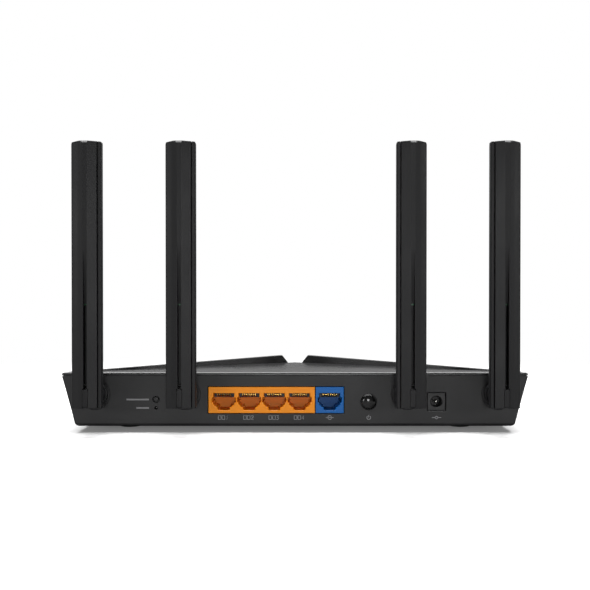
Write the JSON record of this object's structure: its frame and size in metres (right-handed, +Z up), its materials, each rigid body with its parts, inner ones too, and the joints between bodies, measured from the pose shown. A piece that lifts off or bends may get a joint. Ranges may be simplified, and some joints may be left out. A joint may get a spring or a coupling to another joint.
{
  "type": "wireless router",
  "caption": "Desktop wireless router: low black case with raised top panels, a row of network sockets, push buttons and power inlet behind, and upright antennas that swivel and fold.",
  "frame": {"origin": "middle of the bounding box in X and Y, antennas upright, at the underside of the rubber feet", "axes": "+Z up; the socket panel faces -Y and the front of the case +Y; +X is to the right when looking at the socket panel"},
  "size_m": [0.2602, 0.1562, 0.1595],
  "materials": {
    "case_plastic": "fine satin moulded black ABS",
    "wing_plastic": "fine-textured moulded black ABS",
    "antenna_plastic": "satin moulded black ABS",
    "orange_plastic": "moulded orange thermoplastic",
    "blue_plastic": "moulded blue thermoplastic",
    "gold_plate": "gold-flashed phosphor bronze contact springs",
    "steel": "zinc-plated steel",
    "tin_plate": "pressed tin-plated steel",
    "aluminium": "extruded aluminium",
    "board_green": "solder-masked glass-epoxy board",
    "black_epoxy": "moulded black epoxy",
    "rubber": "moulded black rubber",
    "gloss_black": "polished moulded black plastic",
    "light_guide": "clear acrylic light guide, frosted ends",
    "cable_jacket": "thin coaxial cable jacket"
  },
  "bodies": {
    "case": {"bottom_case": "case_plastic", "top_cover": "case_plastic", "left_wing_panel": "wing_plastic", "right_wing_panel": "wing_plastic", "light_pipe": "light_guide", "main_board": "board_green", "left_radio_shield": "tin_plate", "right_radio_shield": "tin_plate", "processor": "black_epoxy", "memory_chip": "black_epoxy", "line_transformer": "black_epoxy", "power_inductor": "black_epoxy", "power_switch": "black_epoxy", "wps_switch": "black_epoxy", "reset_switch": "black_epoxy", "heatsink": "aluminium", "capacitor": "aluminium", "lan_sockets": "orange_plastic", "wan_sockets": "blue_plastic", "lan_contacts": "gold_plate", "wan_contacts": "gold_plate", "power_jack": "gloss_black", "jack_pin": "steel", "rear_left_foot": "rubber", "front_left_foot": "rubber", "rear_right_foot": "rubber", "front_right_foot": "rubber", "case_screw_1": "steel", "case_screw_2": "steel", "case_screw_3": "steel", "case_screw_4": "steel", "board_screw_1": "steel", "board_screw_2": "steel", "antenna_1_lead": "cable_jacket", "antenna_2_lead": "cable_jacket", "antenna_3_lead": "cable_jacket", "antenna_4_lead": "cable_jacket"},
    "power_button": {"power_button": "gloss_black"},
    "wps_button": {"wps_button": "gloss_black"},
    "reset_button": {"reset_button": "gloss_black"},
    "antenna_1_knuckle": {"antenna_1_knuckle": "antenna_plastic"},
    "antenna_1_blade": {"antenna_1_rear_shell": "antenna_plastic", "antenna_1_front_shell": "antenna_plastic", "antenna_1_radiator": "board_green", "antenna_1_pin": "steel"},
    "antenna_2_knuckle": {"antenna_2_knuckle": "antenna_plastic"},
    "antenna_2_blade": {"antenna_2_rear_shell": "antenna_plastic", "antenna_2_front_shell": "antenna_plastic", "antenna_2_radiator": "board_green", "antenna_2_pin": "steel"},
    "antenna_3_knuckle": {"antenna_3_knuckle": "antenna_plastic"},
    "antenna_3_blade": {"antenna_3_rear_shell": "antenna_plastic", "antenna_3_front_shell": "antenna_plastic", "antenna_3_radiator": "board_green", "antenna_3_pin": "steel"},
    "antenna_4_knuckle": {"antenna_4_knuckle": "antenna_plastic"},
    "antenna_4_blade": {"antenna_4_rear_shell": "antenna_plastic", "antenna_4_front_shell": "antenna_plastic", "antenna_4_radiator": "board_green", "antenna_4_pin": "steel"}
  },
  "joints": [
    {"name": "antenna_1_swivel", "type": "hinge", "parent": "case", "child": "antenna_1_knuckle", "pos_m": [-0.1117, -0.05695, 0.0213], "axis": [0, 1, 0], "range_deg": [-90, 12]},
    {"name": "antenna_1_fold", "type": "hinge", "parent": "antenna_1_knuckle", "child": "antenna_1_blade", "pos_m": [-0.1117, -0.07345, 0.0213], "axis": [1, 0, 0], "range_deg": [0, 90]},
    {"name": "antenna_2_swivel", "type": "hinge", "parent": "case", "child": "antenna_2_knuckle", "pos_m": [-0.0613, -0.05695, 0.0213], "axis": [0, 1, 0], "range_deg": [-12, 50]},
    {"name": "antenna_2_fold", "type": "hinge", "parent": "antenna_2_knuckle", "child": "antenna_2_blade", "pos_m": [-0.0613, -0.07345, 0.0213], "axis": [1, 0, 0], "range_deg": [0, 90]},
    {"name": "antenna_3_swivel", "type": "hinge", "parent": "case", "child": "antenna_3_knuckle", "pos_m": [0.0625, -0.05695, 0.0213], "axis": [0, 1, 0], "range_deg": [-50, 12]},
    {"name": "antenna_3_fold", "type": "hinge", "parent": "antenna_3_knuckle", "child": "antenna_3_blade", "pos_m": [0.0625, -0.07345, 0.0213], "axis": [1, 0, 0], "range_deg": [0, 90]},
    {"name": "antenna_4_swivel", "type": "hinge", "parent": "case", "child": "antenna_4_knuckle", "pos_m": [0.1128, -0.05695, 0.0213], "axis": [0, 1, 0], "range_deg": [-12, 90]},
    {"name": "antenna_4_fold", "type": "hinge", "parent": "antenna_4_knuckle", "child": "antenna_4_blade", "pos_m": [0.1128, -0.07345, 0.0213], "axis": [1, 0, 0], "range_deg": [0, 90]},
    {"name": "power_press", "type": "slide", "parent": "case", "child": "power_button", "axis": [0, 1, 0], "range_m": [0, 0.002], "stiffness_N_per_m": 300},
    {"name": "wps_press", "type": "slide", "parent": "case", "child": "wps_button", "axis": [0, 1, 0], "range_m": [0, 0.0005], "stiffness_N_per_m": 1200},
    {"name": "reset_press", "type": "slide", "parent": "case", "child": "reset_button", "axis": [0, 1, 0], "range_m": [0, 0.0005], "stiffness_N_per_m": 1200}
  ]
}
